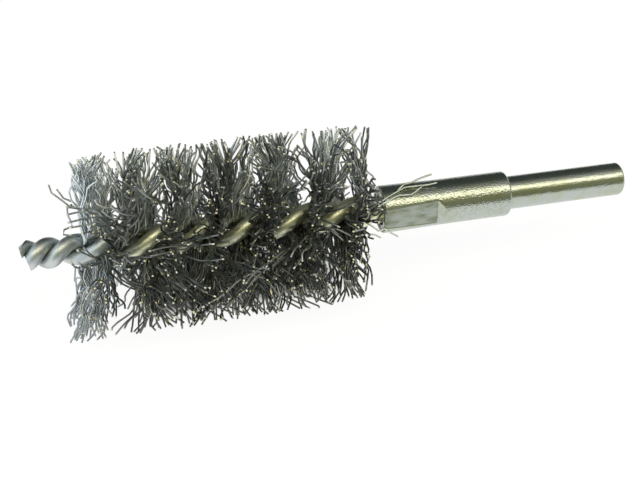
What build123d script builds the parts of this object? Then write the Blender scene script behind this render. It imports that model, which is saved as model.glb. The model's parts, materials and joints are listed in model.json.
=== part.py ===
from build123d import *
import math
import os

# A twisted-wire tube brush with a stepped drive shank.
# Two stem wires are twisted together, left-handed, round a single row of crimped
# fill wires, which they grip. The other end of the stem is crimped in the shank.
# Millimetres. X runs along the brush towards the free end of the shank, and +Z is up.
# The origin is on the axis, in the plane of the shank's shoulder.

# Drive shank
shank_diameter = 6.0
shank_length = 22.4
shank_end_round = 0.4
sleeve_diameter = 8.1
sleeve_length = 23.5
shoulder_round = 0.5
mouth_diameter = 8.5  # the sleeve spreads a little where the flats are pressed in
mouth_chamfer = 0.3
bore_depth = 15.0
bore_clearance = 0.05
drill_point_angle = 118.0

# The two crimp flats, one on each side of the sleeve, pressed deepest away from the mouth
mouth_across_flats = 7.6
across_flats = 6.7
flat_length = 9.7
flat_run_out = 1.3
crimp_turn = 6.0  # how far the pair is turned about the axis, in degrees

# Stem
stem_wire_diameter = 2.5
stem_insertion = 13.5
wire_bends_per_turn = 12  # a stem wire is built of short straights, mitred together
mouth_gap = 3.2  # bare stem between the sleeve and the first fill wire
bare_tip = 8.1
tip_stagger = 0.2  # one stem wire is cropped shorter than the other

# Twist: even along the fill, and tighter on the bare stem at either end of it
fill_turns = 2.96
bare_pitch = 7.5
tightening_length = 2.0
start_angle = 35.0  # of the first stem wire about the axis, at the sleeve's end of the fill

# Fill
fill_diameter = 31.5
fill_length = 49.0
fill_wire_diameter = 0.3
fill_wire_clearance = 0.02
fill_groups = 24
bends_per_arm = 4
crimp_height = 0.35
splay_limit = 15.0  # how far an arm leans along the brush, in degrees
end_splay = 14.0  # how much further the last arms at either end lean out
trim_scatter = 0.5  # how much shorter than the rest an arm may be cut
end_overhang = 3.0  # how far arms may lean out past the ends of the fill

cut_margin = 1.0  # how far a cutting tool reaches outside the part

# Worked out from the sizes above
mouth_x = -sleeve_length
fill_right = mouth_x - mouth_gap
fill_left = fill_right - fill_length
tip_x = fill_left - bare_tip
fill_pitch = fill_length / fill_turns
gap_between_wires = fill_wire_diameter + 2 * fill_wire_clearance
stem_wire_radius = stem_wire_diameter / 2
helix_radius = stem_wire_radius + gap_between_wires / 2
bend_share = math.cos(math.pi / wire_bends_per_turn)
bend_radius = helix_radius / bend_share
stem_radius = bend_radius + stem_wire_radius / bend_share  # to the mitres' corners
bore_radius = stem_radius + bore_clearance
fill_radius = fill_diameter / 2
wires_per_group = int(fill_length / fill_groups / (fill_wire_diameter + fill_wire_clearance))
fill_wire_spacing = fill_length / (fill_groups * wires_per_group)
golden_angle = math.pi * (3 - math.sqrt(5))


def drive_shank():
    sleeve_radius = sleeve_diameter / 2
    mouth_radius = mouth_diameter / 2
    taper_x = mouth_x + flat_length + flat_run_out
    shoulder = (0, sleeve_radius)
    shank_end = (shank_length, shank_diameter / 2)
    outline = Polyline(
        (mouth_x, 0),
        (mouth_x, mouth_radius - mouth_chamfer),
        (mouth_x + mouth_chamfer, mouth_radius),
        (taper_x, sleeve_radius),
        shoulder,
        (0, shank_diameter / 2),
        shank_end,
        (shank_length, 0),
        close=True,
    )
    profile = make_face(outline)
    profile = fillet(profile.vertices().sort_by_distance(shoulder)[0], shoulder_round)
    profile = fillet(profile.vertices().sort_by_distance(shank_end)[0], shank_end_round)
    turned = revolve(profile, axis=Axis.X)

    # The blind hole for the stem, with its drill point
    drill_point = bore_radius / math.tan(math.radians(drill_point_angle / 2))
    bore_outline = Polyline(
        (mouth_x, 0),
        (mouth_x, bore_radius),
        (mouth_x + bore_depth, bore_radius),
        (mouth_x + bore_depth + drill_point, 0),
        close=True,
    )
    bored = turned - revolve(make_face(bore_outline), axis=Axis.X)

    # Each flat runs out in a slope that meets the round of the sleeve
    flat_end_x = mouth_x + flat_length
    flat_y = across_flats / 2
    outside_x = mouth_x - cut_margin
    outside_y = mouth_radius + cut_margin
    slope = flat_run_out / (sleeve_radius - flat_y)
    press_outline = Polyline(
        (outside_x, mouth_across_flats / 2),
        (mouth_x, mouth_across_flats / 2),
        (flat_end_x, flat_y),
        (flat_end_x + slope * (outside_y - flat_y), outside_y),
        (outside_x, outside_y),
        close=True,
    )
    press = Rot(-crimp_turn, 0, 0) * extrude(make_face(press_outline), mouth_diameter, both=True)
    return bored - press - Rot(180, 0, 0) * press


def pitch_at(x):
    beyond = max(fill_left - x, x - fill_right, 0)
    tightened = min(beyond / tightening_length, 1)
    return 1 / ((1 - tightened) / fill_pitch + tightened / bare_pitch)


def tightened_run(beyond):
    # The part of a run past the end of the fill that counts as tightly twisted
    blended = min(max(beyond, 0), tightening_length)
    return blended**2 / (2 * tightening_length) + max(beyond, 0) - blended


def twist_angle(x):
    # The angle of the first stem wire about the axis, in degrees, which grows towards the tip
    tightened = tightened_run(fill_left - x) - tightened_run(x - fill_right)
    turns = (fill_right - x) / fill_pitch + tightened * (1 / bare_pitch - 1 / fill_pitch)
    return start_angle + 360 * turns


def wire_centre(x, side_angle):
    angle = math.radians(twist_angle(x) + side_angle)
    return Vector(x, bend_radius * math.cos(angle), bend_radius * math.sin(angle))


def square_cut(x, side_angle):
    # The plane across a stem wire at x, which faces the tip
    half_bend = pitch_at(x) / wire_bends_per_turn / 2
    towards_tip = wire_centre(x - half_bend, side_angle) - wire_centre(x + half_bend, side_angle)
    return Plane(origin=wire_centre(x, side_angle), z_dir=towards_tip)


def stem_wire(side_angle, end_x):
    # It is swept past both of its ends, which are then cut square to the wire
    start_x = mouth_x + stem_insertion
    bends = []
    x = start_x + stem_wire_diameter
    while x > end_x - 2 * stem_wire_diameter:
        bends.append(wire_centre(x, side_angle))
        x -= pitch_at(x) / wire_bends_per_turn
    path = Polyline(*bends)
    section = Plane(origin=path @ 0, z_dir=path % 0) * Circle(stem_wire_radius)
    wire = sweep(section, path=path, transition=Transition.RIGHT)
    wire = split(wire, bisect_by=square_cut(start_x, side_angle), keep=Keep.TOP)
    return split(wire, bisect_by=square_cut(end_x, side_angle), keep=Keep.BOTTOM)


def end_share(distance, direction):
    # 1 at an end of the fill, fading to nothing half a turn away from it
    return direction * max(1 - distance / (fill_pitch / 2), 0)


def arm_line(x, index, side):
    # The middle line of one arm, from the stem to its tip, as points (along the axis, outwards)
    outwards_lean = end_share(x - fill_left, -1) + end_share(fill_right - x, 1)
    lean = splay_limit * math.sin(golden_angle * (2 * index + side)) + end_splay * outwards_lean
    foot = stem_radius + fill_wire_clearance
    tip = fill_radius - trim_scatter * (1 + math.sin(golden_angle * (3 * index + side))) / 2
    reach = (tip - foot) * math.tan(math.radians(lean))
    reach = min(max(reach, fill_left - end_overhang - x), fill_right + end_overhang - x)
    points = [(0, foot)]
    for bend in range(1, bends_per_arm + 1):
        share = bend / bends_per_arm
        swing = crimp_height * (-1) ** bend if bend < bends_per_arm else 0
        points.append((share * reach + swing, foot + share * (tip - foot)))
    return points


def fill_wire(index):
    # One flat, crimped wire, straight where the stem wires grip it
    x = fill_right - (index + 0.5) * fill_wire_spacing
    upper = arm_line(x, index, 0)
    lower = [(along, -outwards) for along, outwards in arm_line(x, index, 1)]
    middle = lower[::-1] + upper
    half = fill_wire_diameter / 2
    left_edge = [(along - half, outwards) for along, outwards in middle]
    right_edge = [(along + half, outwards) for along, outwards in middle]
    outline = make_face(Polyline(*left_edge, *right_edge[::-1], close=True))
    wire = extrude(outline, amount=half, both=True)
    # It crosses between the two stem wires, square to the line that joins them
    angle = math.radians(twist_angle(x) + 90)
    across = Vector(0, -math.sin(angle), math.cos(angle))
    return Plane(origin=(x, 0, 0), x_dir=(1, 0, 0), z_dir=across) * wire


def fill_group(group):
    first = group * wires_per_group
    return Compound(children=[fill_wire(index) for index in range(first, first + wires_per_group)])


os.makedirs("parts", exist_ok=True)
export_step(drive_shank(), "parts/drive_shank.step")
export_step(stem_wire(0, tip_x + tip_stagger), "parts/stem_wire_1.step")
export_step(stem_wire(180, tip_x), "parts/stem_wire_2.step")
for group in range(fill_groups):
    export_step(fill_group(group), f"parts/fill_wires_{group + 1:02d}.step")
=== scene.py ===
import json
import math
import random

import bpy
import numpy as np
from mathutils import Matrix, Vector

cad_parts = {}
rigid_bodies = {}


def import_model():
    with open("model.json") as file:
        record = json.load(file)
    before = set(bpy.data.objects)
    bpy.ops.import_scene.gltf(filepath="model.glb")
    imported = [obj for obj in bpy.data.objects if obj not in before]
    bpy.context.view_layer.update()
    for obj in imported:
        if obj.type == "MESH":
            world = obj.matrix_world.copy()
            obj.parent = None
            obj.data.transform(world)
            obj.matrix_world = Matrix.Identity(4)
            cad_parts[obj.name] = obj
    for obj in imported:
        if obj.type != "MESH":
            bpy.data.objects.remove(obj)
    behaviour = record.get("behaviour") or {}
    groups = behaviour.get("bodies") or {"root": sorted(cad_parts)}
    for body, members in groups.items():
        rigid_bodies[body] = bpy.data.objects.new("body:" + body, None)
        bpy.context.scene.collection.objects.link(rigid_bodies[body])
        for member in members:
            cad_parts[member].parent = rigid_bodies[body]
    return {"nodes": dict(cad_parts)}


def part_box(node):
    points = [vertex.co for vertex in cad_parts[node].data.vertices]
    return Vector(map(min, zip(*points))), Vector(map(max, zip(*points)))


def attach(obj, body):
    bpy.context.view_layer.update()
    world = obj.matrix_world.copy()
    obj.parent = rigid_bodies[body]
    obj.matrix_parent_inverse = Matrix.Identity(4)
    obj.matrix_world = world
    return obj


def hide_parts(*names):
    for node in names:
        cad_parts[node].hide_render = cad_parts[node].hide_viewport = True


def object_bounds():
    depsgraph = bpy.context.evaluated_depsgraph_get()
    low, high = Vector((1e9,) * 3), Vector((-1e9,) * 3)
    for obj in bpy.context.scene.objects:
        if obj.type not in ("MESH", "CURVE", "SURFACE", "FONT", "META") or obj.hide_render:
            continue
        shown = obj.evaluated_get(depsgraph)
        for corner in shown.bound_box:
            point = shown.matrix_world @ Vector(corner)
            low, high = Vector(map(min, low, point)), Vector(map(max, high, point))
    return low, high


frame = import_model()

# Sizes and places are in millimetres, but for the studio's, which are in metres. The
# scales of noises count per metre, too.
# X runs along the brush to the free end of the shank, and the twist is left-handed.
mm = 0.001
for thing in [o for o in bpy.data.objects if o.name in ("Cube", "Camera", "Light")]:
    bpy.data.objects.remove(thing)
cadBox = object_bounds()
random.seed(11)


def boxOf(node):
    low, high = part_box(node)
    return np.array(low) / mm, np.array(high) / mm


shankLow = boxOf("drive_shank")[0]
fillNodes = sorted(name for name in frame["nodes"] if name.startswith("fill_wires_"))

# The twist, as the stem wires and the fill share it. It tightens towards the bare stem at
# both ends, from so far inside the fill and over such a length.
twist = {
    "mouthGap": 3.2,
    "fillLength": 49.0,
    "fillTurns": 3.05,
    "barePitch": 7.5,
    "leftTightening": (0.7, 4.85),
    "rightTightening": (0.2, 4.85),
    "startAngle": 37.0,
}
fillRight = shankLow[0] - twist["mouthGap"]
fillLeft = fillRight - twist["fillLength"]
slowRate = twist["fillTurns"] / twist["fillLength"]
fastRate = 1 / twist["barePitch"]


def tightness(beyond, zone):
    # from 0 where the twist is slow to 1 where it is tight
    inside, length = zone
    return np.clip((beyond + inside) / length, 0, 1)


def tightenedRun(beyond, zone):
    # the sum of the tightness up to there
    inside, length = zone
    return length * tightness(beyond, zone)**2 / 2 + np.maximum(beyond + inside - length, 0)


def twistRate(x):
    # turns per millimetre
    left = tightness(fillLeft - x, twist["leftTightening"])
    right = tightness(x - fillRight, twist["rightTightening"])
    return slowRate + (left + right) * (fastRate - slowRate)


def twistAngle(x):
    # angle of the first stem wire about the axis, in radians
    left = tightenedRun(fillLeft - x, twist["leftTightening"])
    right = tightenedRun(x - fillRight, twist["rightTightening"])
    turns = (fillRight - x) * slowRate + (left - right) * (fastRate - slowRate)
    return math.radians(twist["startAngle"]) + 2 * math.pi * turns


# Materials


class Signal:
    # One socket of a material's nodes. Python's operators on it add Math nodes.
    def __init__(self, tree, socket):
        self.tree = tree
        self.socket = socket

    def make(self, kind, settings, inputs, output=0):
        node = self.tree.nodes.new(kind)
        for name, value in settings.items():
            if name == "stops":
                ramp = node.color_ramp
                while len(ramp.elements) < len(value):
                    ramp.elements.new(0.5)
                for element, (place, shade) in zip(ramp.elements, value):
                    element.position = place
                    element.color = colour(*shade)
            else:
                setattr(node, name, value)
        for name, value in inputs.items():
            if isinstance(value, Signal):
                self.tree.links.new(value.socket, node.inputs[name])
            else:
                node.inputs[name].default_value = value
        return Signal(self.tree, node.outputs[output])

    def maths(self, operation, *values):
        return self.make("ShaderNodeMath", {"operation": operation}, dict(enumerate(values)))

    def __add__(self, other):
        return self.maths("ADD", self, other)

    def __radd__(self, other):
        return self.maths("ADD", other, self)

    def __sub__(self, other):
        return self.maths("SUBTRACT", self, other)

    def __rsub__(self, other):
        return self.maths("SUBTRACT", other, self)

    def __mul__(self, other):
        return self.maths("MULTIPLY", self, other)

    def __rmul__(self, other):
        return self.maths("MULTIPLY", other, self)

    def __truediv__(self, other):
        return self.maths("DIVIDE", self, other)

    def __rtruediv__(self, other):
        return self.maths("DIVIDE", other, self)

    def larger(self, other):
        return self.maths("MAXIMUM", self, other)

    def between(self, low, high):
        # 0 up to low, 1 from high on, and smooth between them
        settings = {"interpolation_type": "SMOOTHSTEP"}
        inputs = {"Value": self, "From Min": low, "From Max": high}
        return self.make("ShaderNodeMapRange", settings, inputs)

    def beyond(self, places):
        # the same for two places along an axis
        low, high = places
        return self.between(low * mm, high * mm)

    def blend(self, first, second):
        # the first colour where this is 0 and the second where it is 1, by the node's
        # colour sockets
        settings = {"data_type": "RGBA"}
        return self.make("ShaderNodeMix", settings, {0: self, 6: first, 7: second}, 2)

    def stretched(self, scale):
        return self.make("ShaderNodeMapping", {}, {"Vector": self, "Scale": scale})

    def noise(self, scale, detail=3.0):
        inputs = {"Vector": self, "Scale": scale, "Detail": detail, "Roughness": 0.55}
        return self.make("ShaderNodeTexNoise", {}, inputs)

    def attribute(self, name):
        return self.make("ShaderNodeAttribute", {"attribute_name": name}, {}, "Fac")

    def axis(self, name):
        return self.make("ShaderNodeSeparateXYZ", {}, {"Vector": self}, name)

    def ray(self, kind):
        # 1 for rays of this kind
        return self.make("ShaderNodeLightPath", {}, {}, kind)


def colour(red, green, blue):
    return (red, green, blue, 1)


def newMaterial(name):
    material = bpy.data.materials.new(name)
    material.use_nodes = True
    tree = material.node_tree
    tree.nodes.clear()
    place = Signal(tree, tree.nodes.new("ShaderNodeTexCoord").outputs["Object"])
    output = tree.nodes.new("ShaderNodeOutputMaterial")
    return material, place, output


def finishMaterial(place, output, inputs):
    shader = place.make("ShaderNodeBsdfPrincipled", {}, inputs)
    place.tree.links.new(shader.socket, output.inputs["Surface"])


def bump(place, height, strength, depth):
    inputs = {"Strength": strength, "Distance": depth * mm, "Height": height}
    return place.make("ShaderNodeBump", {}, inputs)


# A wire's tint runs from 0, dark, to 1, light. Past that its cut end has a painted gold glint.
fillFinish = {
    "dark": (0.07, 0.075, 0.065),
    "light": (0.82, 0.87, 0.86),
    "blue": (0.88, 0.95, 1.0),
    "paintedGlintGold": (1.0, 0.90, 0.55),
    "roughness": 0.26,
    "patchScale": 1100.0,
    "patchShare": 0.4,
    "darkening": 0.14,
    "paintedLightPlaces": (-67.0, -74.0),
    "paintedLightLift": 0.25,
    "glintScale": 1700.0,
    "glints": (0.73, 0.76),
    "paintedGlintTints": (1.2, 1.6),
}


def fillSteel():
    # The arms next to the bare stem have painted light: they are lighter and bluer than the rest
    material, place, output = newMaterial("fillSteel")
    tint = place.attribute("tint")
    patches = place.noise(fillFinish["patchScale"], detail=2.0)
    # clean marks the arms next to the bare stem, which get painted light, lighter and bluer
    clean = place.axis("X").beyond(fillFinish["paintedLightPlaces"])
    pale = clean.blend(colour(*fillFinish["light"]), colour(*fillFinish["blue"]))
    shade = tint + patches * fillFinish["patchShare"] - fillFinish["darkening"]
    shade = shade + clean * fillFinish["paintedLightLift"]
    grey = shade.blend(colour(*fillFinish["dark"]), pale)
    # painted glints: gold spots from noise and on cut ends, less metallic so that they stay bright
    glints = place.noise(fillFinish["glintScale"], detail=0.0).between(*fillFinish["glints"])
    glints = glints.larger(tint.between(*fillFinish["paintedGlintTints"]))
    finishMaterial(place, output, {
        "Base Color": glints.blend(grey, colour(*fillFinish["paintedGlintGold"])),
        "Metallic": 1 - glints * 0.5,
        "Roughness": fillFinish["roughness"] + patches * 0.2 - glints * 0.12,
    })
    return material


stemFinish = {
    "zinc": (0.47, 0.51, 0.52),
    "bright": (0.63, 0.67, 0.66),
    "paintedLightColour": (0.79, 0.80, 0.58),
    "stain": (0.30, 0.30, 0.26),
    "roughness": 0.36,
    "paintedLightZone": (-71.0, -65.0),
    "scratchStretch": (60, 0.5, 1),
    "scratchScale": 6.0,
    "cloudScale": 420.0,
    "clouds": (0.35, 0.65),
    "stainScale": 800.0,
    "stains": (0.58, 0.72),
    "bumpStrength": 0.5,
    "bumpDepth": 0.05,
}


def galvanisedWire():
    # It is cold and grey at the tip, and under the fill it has painted light, lighter and warmer
    material, place, output = newMaterial("galvanisedWire")
    along = place.make("ShaderNodeUVMap", {"uv_map": "drawn"}, {})
    scratches = along.stretched(stemFinish["scratchStretch"])
    scratches = scratches.noise(stemFinish["scratchScale"], detail=4.0)
    cloud = place.noise(stemFinish["cloudScale"])
    stains = place.noise(stemFinish["stainScale"], detail=5.0).between(*stemFinish["stains"])
    clean = cloud.between(*stemFinish["clouds"]).blend(
        colour(*stemFinish["zinc"]), colour(*stemFinish["bright"])
    )
    # painted light: under the fill the wire is lighter and warmer, against the shade of the arms
    paintedLightShare = place.axis("X").beyond(stemFinish["paintedLightZone"])
    paintedLightBase = paintedLightShare.blend(clean, colour(*stemFinish["paintedLightColour"]))
    roughness = stemFinish["roughness"] + scratches * 0.12 + stains * 0.15 - paintedLightShare * 0.1
    height = scratches * 0.5 + cloud
    finishMaterial(place, output, {
        "Base Color": (stains * 0.5).blend(paintedLightBase, colour(*stemFinish["stain"])),
        "Metallic": 1.0,
        "Roughness": roughness,
        "Normal": bump(place, height, stemFinish["bumpStrength"], stemFinish["bumpDepth"]),
    })
    return material


platedFinish = {
    "bright": (0.51, 0.555, 0.525),
    "tinted": (0.47, 0.51, 0.40),
    "paintedPitShade": (0.27, 0.28, 0.17),
    "pressedLight": (0.42, 0.465, 0.425),
    "pressedDark": (0.25, 0.27, 0.18),
    "pressedEdge": (0.17, 0.19, 0.09),
    "roughness": 0.23,
    "sleevePlaces": (0.2, -0.2),
    "streakStretch": (150, 600, 600),
    "streakScale": 6.0,
    "pitScale": 3600.0,
    "pits": (0.5, 0.66),
    "cloudScale": 300.0,
    "clouds": (0.4, 0.7),
    "markStretch": (0.35, 1, 1),
    "markScale": 900.0,
    "marks": (0.38, 0.72),
    "edgeMarks": (0.3, 0.45),
    "bumpStrength": 1.0,
    "bumpDepth": 0.03,
}


def platedSteel():
    # The flats are bruised all over, and most at their edges. The sleeve is pitted and the
    # shank streaked.
    material, place, output = newMaterial("platedSteel")
    depth = place.attribute("pressed")
    pressed = depth.between(0.0, 0.25)
    edge = depth.between(0.0, 0.12) - depth.between(0.15, 0.6)
    sleeve = place.axis("X").beyond(platedFinish["sleevePlaces"])
    streaks = place.stretched(platedFinish["streakStretch"])
    streaks = streaks.noise(platedFinish["streakScale"], detail=0.0)
    pits = place.noise(platedFinish["pitScale"], detail=0.0)
    cloud = place.noise(platedFinish["cloudScale"], detail=4.0)
    marks = place.stretched(platedFinish["markStretch"])
    marks = marks.noise(platedFinish["markScale"], detail=4.0)
    clean = cloud.between(*platedFinish["clouds"]).blend(
        colour(*platedFinish["bright"]), colour(*platedFinish["tinted"])
    )
    # painted shade: dark specks where the pits are, most on the sleeve
    pitShade = (sleeve * 0.2 + 0.1) * pits.between(*platedFinish["pits"])
    pitShaded = pitShade.blend(clean, colour(*platedFinish["paintedPitShade"]))
    bruised = marks.between(*platedFinish["marks"]).blend(
        colour(*platedFinish["pressedLight"]), colour(*platedFinish["pressedDark"])
    )
    worn = (edge * marks.between(*platedFinish["edgeMarks"])).blend(
        bruised, colour(*platedFinish["pressedEdge"])
    )
    height = pits * (0.25 + sleeve) + streaks * (0.5 - sleeve * 0.5) + pressed * marks
    finishMaterial(place, output, {
        "Base Color": pressed.blend(pitShaded, worn),
        "Metallic": 1.0,
        "Roughness": platedFinish["roughness"] + pressed * 0.2 + streaks * 0.06,
        "Normal": bump(place, height, platedFinish["bumpStrength"], platedFinish["bumpDepth"]),
    })
    return material


# Meshes


def makePiece(name, vertices, faces, material, node):
    mesh = bpy.data.meshes.new(name)
    mesh.from_pydata((np.asarray(vertices) * mm).tolist(), [], faces)
    mesh.shade_smooth()
    mesh.materials.append(material)
    piece = bpy.data.objects.new(name, mesh)
    bpy.context.scene.collection.objects.link(piece)
    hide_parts(node)
    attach(piece, "root")
    return mesh


def addAttribute(mesh, name, values):
    # one number for each vertex, for the material to read
    attribute = mesh.attributes.new(name, "FLOAT", "POINT")
    attribute.data.foreach_set("value", values)


def ringFaces(first, rings, sides):
    faces = []
    for ring in range(rings - 1):
        start = first + ring * sides
        for side in range(sides):
            after = (side + 1) % sides
            faces.append((start + side, start + after, start + sides + after, start + sides + side))
    return faces


def capFace(first, sides):
    return tuple(range(first, first + sides))


def tubeRings(points, radius, sides, reference):
    # rings of vertices round a line of points, kept square to it
    along = np.gradient(points, axis=0)
    along /= np.linalg.norm(along, axis=1, keepdims=True)
    out = reference - along * (along @ reference)[:, None]
    out /= np.linalg.norm(out, axis=1, keepdims=True)
    across = np.cross(along, out)
    turn = np.linspace(0, 2 * math.pi, sides, endpoint=False)
    cosines = np.cos(turn)[None, :, None]
    sines = np.sin(turn)[None, :, None]
    return points[:, None, :] + radius * (cosines * out[:, None, :] + sines * across[:, None, :])


# Angles are in degrees. Round the axis, they are measured as the twist is. Neighbouring
# wires nest together in tufts, which lean and bend alike. Where a value has four parts, they
# are for every arm, and what is added for arms that face up, down and forward.
fill = {
    "tuftsPerNode": 10,
    "wiresPerTuft": 4,
    "wireRadius": 0.165,
    "sides": 5,
    "shift": 1.0,
    "thinning": 0.7,  # lower leaves fewer wires next to the sleeve
    "root": 0.7,
    "foot": 2.4,
    "footShift": (-0.3, 0.9, -0.9, 0),  # at the left end of the row
    "upAngle": 52.0,
    "sweep": -32.0,
    "hangingStraight": 0.7,  # the least share of the sweep that arms lose where they hang
    "leanSpread": 14.0,
    "hangingSpread": 0.2,
    "sideSpread": 10.0,
    "looseness": 5.5,
    "leftCalm": 0.3,
    "leftOverhang": (1.1, -0.6, 2.8, 0),
    "rightOverhang": 0.6,
    "forwardOverhang": 3.0,
    "hangingInset": 3.2,
    "trimScatter": 1.0,
    "shortShare": 0.2,  # of the tufts, by up to the next value
    "shortBy": 3.5,
    "bow": 0.55,
    "bowScatter": 0.15,
    "rollScatter": 0.4,
    "halfWave": 2.1,
    "halfWaves": (0.85, 1.15),
    "phases": (0.3, 1.3),
    "stepScatter": (0.92, 1.08),
    "waveHeight": 0.38,
    "waveHeights": (0.6, 1.2),
    "endHeights": (-0.4, 0.8),
    "kinkShare": 0.2,  # of a half wave, to each side of its middle
    "kinkRise": 0.93,
    "lastKink": 0.35,  # of a half wave, the nearest that a kink comes to the tip
    "ownTint": 0.7,  # the rest comes from the tuft
    "paintedShadeByFacing": (0.55, 0.45, -0.45, 0),
    "paintedGlintTips": 0.75,
    "paintedGlintTipTints": (1.2, 1.9),
    "endShare": 0.15,  # of the last stretch, so that a cut end's painted glint stays apart from it
}
fillRadius = max(boxOf(name)[1][2] for name in fillNodes)
rowLeft, rowRight = fillLeft + fill["shift"], fillRight + fill["shift"]

# Where arms lean on purpose. A zone is so far from an end of the row, reaches so far to
# either side of that and fades at its edges. It spreads the tufts more or less, and its
# leans are towards the sleeve.
zones = {
    "left": {
        "end": rowLeft, "middle": 0, "reach": 4.0, "fade": 0.6,
        "spread": -0.6, "leans": (0, 3, -14, 8),
    },
    "besideLeft": {
        "end": rowLeft, "middle": 6.8, "reach": 3.8, "fade": 3.8,
        "spread": 0, "leans": (0, 0, -23, 6),
    },
    "right": {
        "end": rowRight, "middle": 0, "reach": 9.0, "fade": 9.0,
        "spread": 0.3, "leans": (4, 0, 0, -10),
    },
    "besideRight": {
        "end": rowRight, "middle": 6.3, "reach": 3.0, "fade": 3.0,
        "spread": 0, "leans": (0, 15, 0, 0),
    },
}


def clamp(value, low, high):
    return min(max(value, low), high)


def zoneShare(x, zone):
    away = abs(abs(x - zone["end"]) - zone["middle"])
    return clamp((zone["reach"] - away) / zone["fade"], 0, 1)


def tuftHabit():
    return {
        "lean": random.gauss(0, fill["leanSpread"]),
        "side": random.gauss(0, fill["sideSpread"]),
        "bows": [random.gauss(0, fill["bow"]) for part in range(4)],
        "short": fill["shortBy"] * random.random() * (random.random() < fill["shortShare"]),
        "roll": random.uniform(0, 2 * math.pi),
        "step": fill["halfWave"] * random.uniform(*fill["halfWaves"]),
        "phase": random.uniform(*fill["phases"]),
        "tint": random.random(),
    }


def facing(angle):
    # 1, and how far an arm's tip points up, down and forward, from its root's angle
    turned = angle + math.radians(fill["sweep"] - fill["upAngle"])
    return 1, max(math.cos(turned), 0), max(-math.cos(turned), 0), max(math.sin(turned), 0)


def crimpedArm(x, angle, habit):
    # the points of one arm, from the stem outwards, and the direction of its first side
    outward = np.array((0, math.cos(angle), math.sin(angle)))
    around = np.array((0, -math.sin(angle), math.cos(angle)))
    axial = np.array((1.0, 0, 0))
    ways = facing(angle)
    up, down, front = ways[1:]
    shares = {name: zoneShare(x, zone) for name, zone in zones.items()}
    left = shares["left"]

    # Its lean along the row and its sweep round the axis
    spread = 1 + fill["hangingSpread"] * down
    lean = random.gauss(0, fill["looseness"] * (1 - fill["leftCalm"] * left))
    for name, zone in zones.items():
        spread += zone["spread"] * shares[name]
        lean += np.dot(zone["leans"], ways) * shares[name]
    lean = math.radians(lean + habit["lean"] * spread)
    straight = max(left, shares["besideLeft"], fill["hangingStraight"]) * down
    side = fill["sweep"] * (1 - straight) + habit["side"] + random.gauss(0, fill["looseness"])
    side = math.radians(side)
    tip = fillRadius - fill["trimScatter"] * random.random() - habit["short"]
    swerve = tip * math.sin(side)
    length = tip * math.cos(side) - fill["foot"]

    # It may pass the row's ends a little
    leftOverhang = np.dot(fill["leftOverhang"], ways) * random.random()
    forward = front * (1 - up) * (1 - down)
    rightOverhang = fill["rightOverhang"] + fill["forwardOverhang"] * forward
    rightOverhang = rightOverhang * random.random() - fill["hangingInset"] * down
    leftLimit, rightLimit = rowLeft - x - leftOverhang, rowRight - x + rightOverhang
    reach = clamp(length * math.tan(lean), leftLimit, rightLimit)

    bows = [bow + random.gauss(0, fill["bowScatter"]) for bow in habit["bows"]]
    roll = habit["roll"] + random.gauss(0, fill["rollScatter"])
    wave = math.cos(roll) * axial + math.sin(roll) * around
    footShift = left * np.dot(fill["footShift"], ways)
    foot = axial * (x + footShift) + outward * fill["foot"]

    def at(share, offset):
        once, twice = math.sin(math.pi * share), math.sin(2 * math.pi * share)
        along = reach * share**1.5 + bows[0] * once + bows[1] * twice
        aside = swerve * share**0.8 + bows[2] * once + bows[3] * twice
        return foot + outward * share * length + axial * along + around * aside + wave * offset

    # Each half wave is a short flat kink, with straights between them
    points = [axial * x + outward * fill["root"], at(0, 0)]
    step = habit["step"] / length
    share = step * habit["phase"]
    sign = 1
    while share < 1 - step * fill["lastKink"]:
        height = sign * fill["waveHeight"] * random.uniform(*fill["waveHeights"])
        points.append(at(share - fill["kinkShare"] * step, height * fill["kinkRise"]))
        points.append(at(share + fill["kinkShare"] * step, height))
        share += step * random.uniform(*fill["stepScatter"])
        sign = -sign
    points.append(at(1, sign * fill["waveHeight"] * random.uniform(*fill["endHeights"])))
    return points, wave + 0.31 * outward


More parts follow.
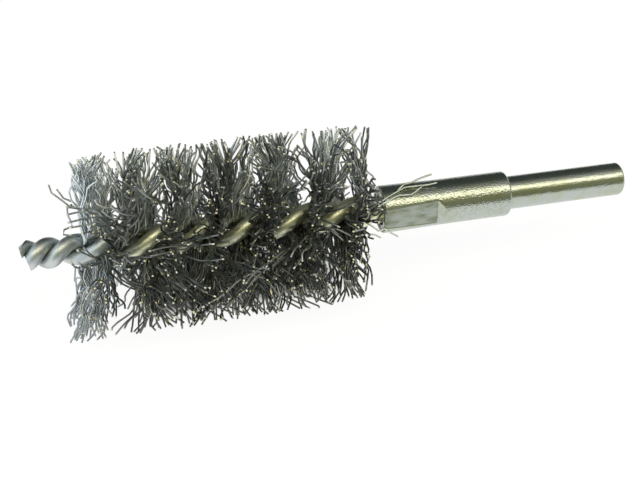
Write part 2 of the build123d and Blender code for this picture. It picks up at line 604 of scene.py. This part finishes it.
# Arms that have sprung out of the row, as points from the stem outwards: bright ones that
# lie along the sleeve and its mouth, and dark ones at the bare end of the stem
strays = {
    "first": {
        "overSleeve": [
            (-28.0, -2.0, 2.6), (-26.0, -2.0, 2.9), (-24.1, -2.8, 3.7), (-22.5, -2.1, 4.1),
            (-20.7, -1.3, 4.4), (-19.2, -0.6, 4.5), (-17.5, -0.5, 4.4), (-15.0, -0.7, 4.5),
            (-13.4, -0.7, 4.7),
        ],
        "besideSleeve": [
            (-25.8, -2.4, 2.7), (-24.3, -3.0, 3.2), (-22.9, -2.9, 3.6), (-21.7, -2.4, 3.9),
            (-20.7, -2.2, 4.1), (-18.5, -2.3, 4.0), (-17.6, -1.8, 4.2), (-16.3, -1.0, 4.5),
        ],
        "aboveSleeve": [
            (-20.7, -1.2, 4.4), (-19.2, 0.3, 4.5), (-17.6, 0.5, 4.6), (-16.6, 0.8, 4.8),
            (-15.3, 1.1, 5.0), (-13.8, 1.3, 5.2),
        ],
        "underMouth": [
            (-28.2, -2.0, 0.0), (-27.5, -4.2, 1.1), (-26.2, -4.9, 0.3), (-25.2, -5.5, -0.5),
            (-24.0, -5.3, -0.3), (-23.0, -5.9, -1.0), (-21.9, -6.4, -1.6),
        ],
        "belowMouth": [
            (-28.6, -2.0, -0.4), (-28.0, -4.9, 0.2), (-27.1, -5.6, -0.7), (-25.9, -5.8, -1.0),
            (-24.9, -6.2, -1.5),
        ],
    },
    "last": {
        "high": [
            (-73.6, 1.2, 2.4), (-74.1, 2.6, 4.9), (-74.7, 3.6, 6.2), (-75.9, 3.6, 6.2),
            (-76.7, 4.1, 6.9), (-77.7, 4.7, 7.7), (-78.5, 5.2, 8.3), (-78.8, 6.0, 9.4),
        ],
        "middle": [
            (-73.4, 1.0, 2.2), (-74.0, 2.0, 4.1), (-74.7, 3.6, 6.2), (-75.3, 4.0, 6.8),
            (-76.7, 4.5, 7.4), (-77.6, 5.5, 8.7),
        ],
        "curl": [
            (-75.0, 0.4, 2.2), (-77.5, 0.6, 2.9), (-77.3, 1.2, 3.4), (-75.9, 1.5, 3.7),
            (-76.0, 1.9, 4.3), (-76.4, 2.7, 5.1), (-76.4, 3.4, 6.0), (-75.5, 3.8, 6.5),
        ],
    },
}
strayTints = {"first": 1.0, "last": 0.05}
straySide = np.array((0, 0.35, 0.94))


class WireBundle:
    # The vertices, faces and tints of one piece of the fill
    def __init__(self):
        self.vertices = []
        self.faces = []
        self.tints = []

    def add(self, points, reference, tint, tipTint):
        sides = fill["sides"]
        points = np.array(points)
        nearEnd = points[-1] + (points[-2] - points[-1]) * fill["endShare"]
        points = np.insert(points, -1, nearEnd, axis=0)
        rings = tubeRings(points, fill["wireRadius"], sides, reference)
        first = len(self.vertices)
        self.vertices.extend(rings.reshape(-1, 3))
        self.faces.extend(ringFaces(first, len(points), sides))
        self.faces.append(capFace(first, sides)[::-1])
        self.faces.append(capFace(len(self.vertices) - sides, sides))
        self.tints.extend([tint] * (len(points) - 1) * sides + [tipTint] * sides)


def armTints(habit, angle):
    # of the arm, with painted shade, and of its cut end, with a painted glint where it faces
    # forward
    ways = facing(angle)
    up, front = ways[1], ways[3]
    tint = habit["tint"] + (random.random() - habit["tint"]) * fill["ownTint"]
    # painted shade and light: arms that hang down get a darker tint and arms that face up a lighter
    # one
    tint *= np.dot(fill["paintedShadeByFacing"], ways)
    # a painted glint: the cut end is tinted gold, most often where the arm faces forward
    if random.random() < fill["paintedGlintTips"] * (0.06 + front * (0.8 - 0.65 * up)):
        return tint, random.uniform(*fill["paintedGlintTipTints"])
    return tint, tint


def fillPiece(index, node, material):
    # Each wire stands out on both sides of the stem, between its two wires, and a tuft has
    # one habit on either side
    bundle = WireBundle()
    span = twist["fillLength"] / len(fillNodes)
    wires = fill["tuftsPerNode"] * fill["wiresPerTuft"]
    for wire in range(wires):
        if wire % fill["wiresPerTuft"] == 0:
            habits = [tuftHabit(), tuftHabit()]
        share = (wire + random.random()) / wires
        if index == 0:
            share = share**fill["thinning"]
        x = rowRight - span * (index + share)
        across = twistAngle(x) + math.pi / 2
        for habit, angle in zip(habits, (across, across + math.pi)):
            bundle.add(*crimpedArm(x, angle, habit), *armTints(habit, angle))
    end = {0: "first", len(fillNodes) - 1: "last"}.get(index)
    for points in strays.get(end, {}).values():
        bundle.add(points, straySide, strayTints[end], strayTints[end])
    name = f"crimpedWires{index + 1:02d}"
    mesh = makePiece(name, bundle.vertices, bundle.faces, material, node)
    addAttribute(mesh, "tint", bundle.tints)


stem = {
    "wireRadius": 1.31,
    "fillHelix": 1.62,
    "bareHelix": 1.33,
    "helixFade": 2.0,
    "sides": 28,
    "ringStep": 9.0,  # degrees of twist
    "insideBore": 5.0,
    "endX": -82.5,
    "cropSearch": (5.0, 0.02),  # how far past that, and in which steps
    "tipShares": (0, 0.12, 0.24, 0.36, 0.48, 0.6, 0.72, 0.84, 0.98, 1),
    "capShares": (0.96, 0.7, 0.4, 0.1),
    "drawnTurn": 90.0,  # degrees of twist to the height of the map
}
# The planes that crop each wire's end, as an outward direction and a distance
crops = {
    "twistedWireOne": [((-0.975, -0.216, -0.051), 82.61), ((-0.627, 0.374, 0.684), 54.47)],
    "twistedWireTwo": [((-0.956, -0.265, -0.128), 80.50)],
}


def stemRing(x, sideAngle, radius):
    # points round a stem wire, whose x may differ from side to side
    x = np.broadcast_to(x, stem["sides"])
    angle = twistAngle(x) + sideAngle
    fade = stem["helixFade"]
    bare = np.clip(np.maximum(rowLeft + fade - x, x + fade - rowRight) / fade, 0, 1)
    helix = stem["fillHelix"] + (stem["bareHelix"] - stem["fillHelix"]) * bare
    flat = np.zeros(stem["sides"])
    out = np.stack((flat, np.cos(angle), np.sin(angle)), axis=1)
    around = np.stack((flat, -np.sin(angle), np.cos(angle)), axis=1)
    along = around * (2 * math.pi * twistRate(x) * helix)[:, None] - np.array((1.0, 0, 0))
    along /= np.linalg.norm(along, axis=1, keepdims=True)
    across = np.cross(along, out)
    turns = np.linspace(0, 2 * math.pi, stem["sides"], endpoint=False)[:, None]
    centre = np.stack((x, flat, flat), axis=1) + out * helix[:, None]
    return centre + radius * (np.cos(turns) * out + np.sin(turns) * across)


def cropX(sideAngle, radius, planes):
    # where each side of the wire first meets one of the planes
    reach, step = stem["cropSearch"]
    found = np.full(stem["sides"], np.nan)
    for x in np.arange(stem["endX"], stem["endX"] - reach, -step):
        ring = stemRing(x, sideAngle, radius)
        outside = np.any([ring @ np.array(normal) > away for normal, away in planes], axis=0)
        found = np.where(np.isnan(found) & outside, x, found)
    return found


def stemPiece(name, node, sideAngle, material):
    radius = stem["wireRadius"]
    sides = stem["sides"]
    rings = []
    x = shankLow[0] + stem["insideBore"]
    while x > stem["endX"]:
        rings.append(stemRing(x, sideAngle, radius))
        x -= stem["ringStep"] / 360 / twistRate(x)
    ends = cropX(sideAngle, radius, crops[name])
    for share in stem["tipShares"]:
        rings.append(stemRing(stem["endX"] + (ends - stem["endX"]) * share, sideAngle, radius))
    for share in stem["capShares"]:
        ends = cropX(sideAngle, radius * share, crops[name])
        rings.append(stemRing(ends, sideAngle, radius * share))
    faces = ringFaces(0, len(rings), sides)
    faces.append(capFace(0, sides)[::-1])
    faces.append(capFace((len(rings) - 1) * sides, sides))
    vertices = np.array(rings).reshape(-1, 3)
    mesh = makePiece(name, vertices, faces, material, node)
    drawn = mesh.uv_layers.new(name="drawn")
    for loop in mesh.loops:
        ring, side = divmod(loop.vertex_index, sides)
        drawn.data[loop.index].uv = (side / sides, ring * stem["ringStep"] / stem["drawnTurn"])


shank = {
    "length": 22.4,
    "radius": 3.0,
    "endRound": 0.45,
    "endCap": 0.4,
    "sleeveRadius": 4.05,
    "mouthRadius": 4.25,
    "mouthRound": 0.3,
    "shoulderRound": 0.5,
    "shoulderFoot": 0.12,
    "boreRadius": 2.77,
    "boreDepth": 4.0,
    "boreChamfer": (0.2, 0.15),
    "mouthAcrossFlats": 7.6,
    "acrossFlats": 6.7,
    "flatLength": 9.7,
    "flatRunOut": 1.3,
    "flatsReach": 11.39,  # from the mouth, to where the sleeve is round again
    "crimpTurn": 6.0,
    "fullyPressed": 0.3,
    "sides": 240,
    "step": 0.16,
    "edge": 0.05,
    "cornerParts": 5,
}


def roundedCorner(x, r, radius, side):
    # points of a quarter round between an end face and the round to its right, 1, or left, -1
    points = []
    for part in range(shank["cornerParts"] + 1):
        angle = math.pi / 2 * part / shank["cornerParts"]
        along = side * radius * (1 - math.sin(angle))
        points.append((x + along, r - radius * (1 - math.cos(angle))))
    return points[::-side]


def shankProfile():
    # from inside the bore, over the mouth and along the sleeve, to the shank's end
    mouth = shankLow[0]
    bore, sleeve, radius = shank["boreRadius"], shank["sleeveRadius"], shank["radius"]
    chamferLength, chamferHeight = shank["boreChamfer"]
    taperEnd = mouth + shank["flatLength"] + shank["flatRunOut"]
    profile = [(mouth + shank["boreDepth"], bore), (mouth + chamferLength, bore)]
    profile.append((mouth, bore + chamferHeight))
    profile += roundedCorner(mouth, shank["mouthRadius"], shank["mouthRound"], 1)
    for x in np.arange(mouth + shank["mouthRound"] + shank["step"], taperEnd + 1, shank["step"]):
        share = min((x - mouth) / (taperEnd - mouth), 1)
        profile.append((x, shank["mouthRadius"] + (sleeve - shank["mouthRadius"]) * share))
    profile.append((-shank["shoulderRound"] - shank["step"], sleeve))
    profile += roundedCorner(0, sleeve, shank["shoulderRound"], -1)
    foot = shank["shoulderFoot"]
    profile += [(0, radius + foot), (foot, radius), (2.5 * foot, radius)]
    profile.append((shank["length"] - shank["endRound"] - shank["step"], radius))
    profile += roundedCorner(shank["length"], radius, shank["endRound"], -1)
    profile.append((shank["length"], shank["endCap"]))
    return profile


def flatLimit(x):
    # the distance of a flat from the axis
    deep, shallow = shank["acrossFlats"] / 2, shank["mouthAcrossFlats"] / 2
    past = x - shankLow[0]
    pressed = shallow + (deep - shallow) * min(past / shank["flatLength"], 1)
    runOut = max(past - shank["flatLength"], 0) / shank["flatRunOut"]
    return pressed + (shank["sleeveRadius"] + 0.02 - deep) * runOut


def shankPiece(material):
    profile = shankProfile()
    sides = shank["sides"]
    flatEnd = shankLow[0] + shank["flatLength"]
    turns = np.linspace(0, 2 * math.pi, sides, endpoint=False)
    crimpTurn = math.radians(shank["crimpTurn"])
    spin = np.array((math.cos(crimpTurn), -math.sin(crimpTurn)))
    soft = shank["edge"]
    vertices = []
    pressed = []
    for x, r in profile:
        flattened = r > shank["radius"] + 0.3 and x < shankLow[0] + shank["flatsReach"]
        limit = flatLimit(x)
        for turn in turns:
            out, moved = r * math.cos(turn), 0
            if flattened:
                # the smaller of the two distances, blended softly where they cross
                under = -soft * np.logaddexp(-abs(out) / soft, -limit / soft)
                moved = abs(out) - under
                out = math.copysign(under, out)
            y, z = out * spin + r * math.sin(turn) * np.array((-spin[1], spin[0]))
            vertices.append((x, y, z))
            pressed.append(min(moved / shank["fullyPressed"], 1) * (x <= flatEnd))
    faces = ringFaces(0, len(profile), sides)
    faces.append(capFace(len(vertices) - sides, sides))
    faces = [face[::-1] for face in faces]
    mesh = makePiece("turnedShank", vertices, faces, material, "drive_shank")
    addAttribute(mesh, "pressed", pressed)


# The studio

studio = {
    "floorSize": 4.0,
    "floorFront": 0.3,
    "floorColour": (0.86, 0.86, 0.86),
    "shadeColour": (0.15, 0.15, 0.13),
    "shadeLeft": (-69.0, -63.0),  # millimetres, as the next three
    "shadeRight": (-28.0, -36.0),
    "shadeFront": (-4.0, 2.0),
    "shadeBack": (20.0, 9.0),
    "whiteShare": 0.85,
    "whiteStrength": 1.1,
    "leftWall": (1.05, 1.2, 1.3),
    "rightWall": (0.5, 0.48, 0.38),
    "lampColour": (1.0, 0.93, 0.74),
    "lampPower": 2.7,
    "lampSize": (1.5, 0.26),
    "lampDistance": 0.7,
    "lampX": -0.03,
    "lampElevation": 61.0,
    "lens": 50.0,
    "azimuth": -12.72,
    "elevation": 37.0,
    "distance": 158.4,  # millimetres, as the next
    "target": (-34.25, 0, -4.96),
}
# Colours round the brush, from in front of it, 0, over it, 0.5, to behind it, 1
surroundings = [
    (0.0, (0.14, 0.15, 0.08)),
    (0.13, (0.28, 0.285, 0.16)),
    (0.19, (0.20, 0.205, 0.08)),
    (0.27, (0.38, 0.37, 0.22)),
    (0.40, (0.56, 0.53, 0.42)),
    (0.47, (0.42, 0.42, 0.38)),
    (0.54, (0.24, 0.24, 0.22)),
    (0.62, (0.055, 0.065, 0.06)),
    (1.0, (0.055, 0.065, 0.06)),
]


def buildFloor():
    # The floor looks white, and has a painted shadow only right under the fill
    half = studio["floorSize"] / 2
    front = -studio["floorFront"]
    mesh = bpy.data.meshes.new("floor")
    corners = [(-half, front), (half, front), (half, half), (-half, half)]
    mesh.from_pydata([(x, y, cadBox[0][2]) for x, y in corners], [], [(0, 1, 2, 3)])
    material, place, output = newMaterial("paleFloor")
    shade = place.axis("X").beyond(studio["shadeLeft"])
    for side, axis in (("shadeRight", "X"), ("shadeFront", "Y"), ("shadeBack", "Y")):
        shade = shade * place.axis(axis).beyond(studio[side])
    shown = place.ray("Is Camera Ray").larger(place.ray("Is Glossy Ray"))
    shown = shown.larger(place.ray("Is Transmission Ray"))
    paint = shade.blend(colour(*studio["floorColour"]), colour(*studio["shadeColour"]))
    paper = place.make("ShaderNodeBsdfDiffuse", {}, {"Color": paint})
    glow = {"Color": colour(1, 1, 1), "Strength": studio["whiteStrength"]}
    white = place.make("ShaderNodeEmission", {}, glow)
    share = shown * studio["whiteShare"] * (1 - shade)
    mixed = place.make("ShaderNodeMixShader", {}, {0: share, 1: paper, 2: white})
    place.tree.links.new(mixed.socket, output.inputs["Surface"])
    mesh.materials.append(material)
    floor = bpy.data.objects.new("floor", mesh)
    bpy.context.scene.collection.objects.link(floor)


def buildWorld():
    # Dark above and behind, olive in front, and pale walls to the left and the right
    world = bpy.data.worlds.new("studio")
    world.use_nodes = True
    tree = world.node_tree
    tree.nodes.clear()
    place = Signal(tree, tree.nodes.new("ShaderNodeTexCoord").outputs["Generated"])
    arc = place.maths("ARCTAN2", place.axis("Z"), -1 * place.axis("Y")) / math.pi
    middle = arc.make("ShaderNodeValToRGB", {"stops": surroundings}, {"Fac": arc})
    leftLit = place.axis("X").between(-0.4, -0.8).blend(middle, colour(*studio["leftWall"]))
    sky = place.axis("X").between(0.6, 0.85).blend(leftLit, colour(*studio["rightWall"]))
    shine = place.make("ShaderNodeBackground", {}, {"Color": sky, "Strength": 1.0})
    output = tree.nodes.new("ShaderNodeOutputWorld")
    tree.links.new(shine.socket, output.inputs["Surface"])
    bpy.context.scene.world = world


def buildLamp():
    light = bpy.data.lights.new("stripLamp", "AREA")
    light.shape = "RECTANGLE"
    light.size, light.size_y = studio["lampSize"]
    light.energy = studio["lampPower"]
    light.color = studio["lampColour"]
    lamp = bpy.data.objects.new("stripLamp", light)
    bpy.context.scene.collection.objects.link(lamp)
    height = math.radians(studio["lampElevation"])
    reach = studio["lampDistance"]
    lamp.location = (studio["lampX"], -reach * math.cos(height), reach * math.sin(height))
    lamp.rotation_euler = (math.pi / 2 - height, 0, 0)


def buildCamera():
    camera = bpy.data.objects.new("camera", bpy.data.cameras.new("camera"))
    camera.data.lens = studio["lens"]
    camera.data.clip_start = 5 * mm
    bpy.context.scene.collection.objects.link(camera)
    azimuth = math.radians(studio["azimuth"])
    elevation = math.radians(studio["elevation"])
    back = np.array((
        math.sin(azimuth) * math.cos(elevation),
        -math.cos(azimuth) * math.cos(elevation),
        math.sin(elevation),
    ))
    target = np.array(studio["target"])
    camera.location = (target + back * studio["distance"]) * mm
    camera.rotation_euler = (math.pi / 2 - elevation, 0, azimuth)
    bpy.context.scene.camera = camera


print("materials")
steel = fillSteel()
zinc = galvanisedWire()
plated = platedSteel()

print("stem wires")
stemPiece("twistedWireOne", "stem_wire_1", 0, zinc)
stemPiece("twistedWireTwo", "stem_wire_2", math.pi, zinc)

print("drive shank")
shankPiece(plated)

print("fill wires")
for index, node in enumerate(fillNodes):
    fillPiece(index, node, steel)

print("studio")
buildFloor()
buildWorld()
buildLamp()
buildCamera()
bpy.context.scene.view_settings.view_transform = "Standard"
